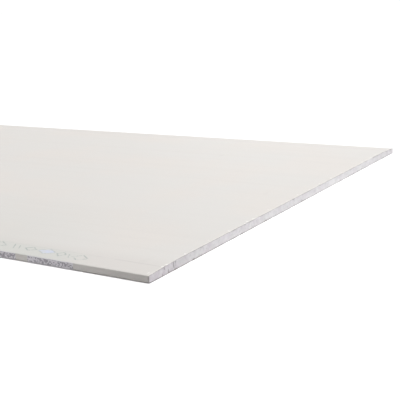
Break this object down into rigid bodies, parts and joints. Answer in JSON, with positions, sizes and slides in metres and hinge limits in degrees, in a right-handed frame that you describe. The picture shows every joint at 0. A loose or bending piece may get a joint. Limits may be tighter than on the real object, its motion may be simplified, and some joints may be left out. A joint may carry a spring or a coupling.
{
  "type": "drywall sheet",
  "caption": "Tapered-edge drywall sheet: a gypsum core bound in a face paper that wraps both long edges and a lapped back paper, with square-cut bare ends.",
  "frame": {"origin": "centre of the board's outline, on the underside of the back paper", "axes": "+Z out of the face of the board, X along its length, Y across its width"},
  "size_m": [1.8, 0.9, 0.0125],
  "materials": {
    "gypsum": "matt off-white gypsum with small air bubbles, rough where cut",
    "face_paper": "smooth matt ivory lining paper",
    "back_paper": "rougher matt grey-brown recycled paper"
  },
  "bodies": {
    "root": {"gypsum_core": "gypsum", "face_paper": "face_paper", "back_paper": "back_paper"}
  },
  "joints": []
}
